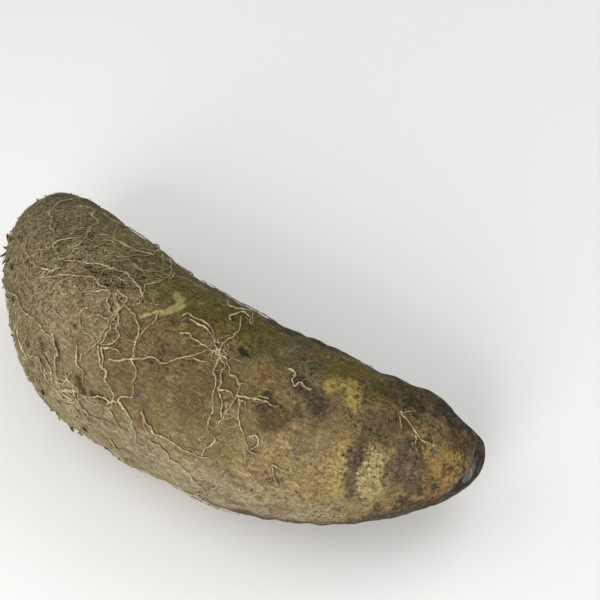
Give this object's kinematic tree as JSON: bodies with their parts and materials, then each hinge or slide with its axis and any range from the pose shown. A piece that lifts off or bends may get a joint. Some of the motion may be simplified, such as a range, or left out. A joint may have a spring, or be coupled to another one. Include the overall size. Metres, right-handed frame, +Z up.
{
  "type": "purple yam",
  "caption": "Whole purple yam: a long bent tuber with rough brown skin, lying on its side, with pale feeder roots still spread over it.",
  "frame": {"origin": "on the underside of the tuber, on the flat spot that it rests on, under its weight", "axes": "+X along the tuber, from the stem end to the growing tip; +Z up from the surface that it lies on; -Y towards the outside of the bend"},
  "size_m": [0.2609, 0.1114, 0.0855],
  "materials": {
    "skin": "thin corky skin, matt, with a faint waxy sheen, brown with olive, grey-purple and ochre patches",
    "root": "dry straw-coloured fibre, matt"
  },
  "bodies": {
    "root": {"tuber": "skin", "root_spray_middle": "root", "root_spray_belly": "root", "root_spray_star": "root", "root_spray_crook": "root", "root_spray_ridge": "root", "root_spray_flank": "root", "root_spray_crown": "root", "root_spray_shoulder": "root", "root_spray_rim": "root", "root_spray_squiggle": "root", "root_spray_tip": "root", "root_spray_far_1": "root", "root_spray_far_2": "root", "root_spray_far_3": "root", "root_spray_far_4": "root", "root_spray_far_5": "root", "root_spray_far_6": "root", "root_spray_far_7": "root", "root_spray_far_8": "root", "root_spray_far_9": "root"}
  },
  "joints": []
}
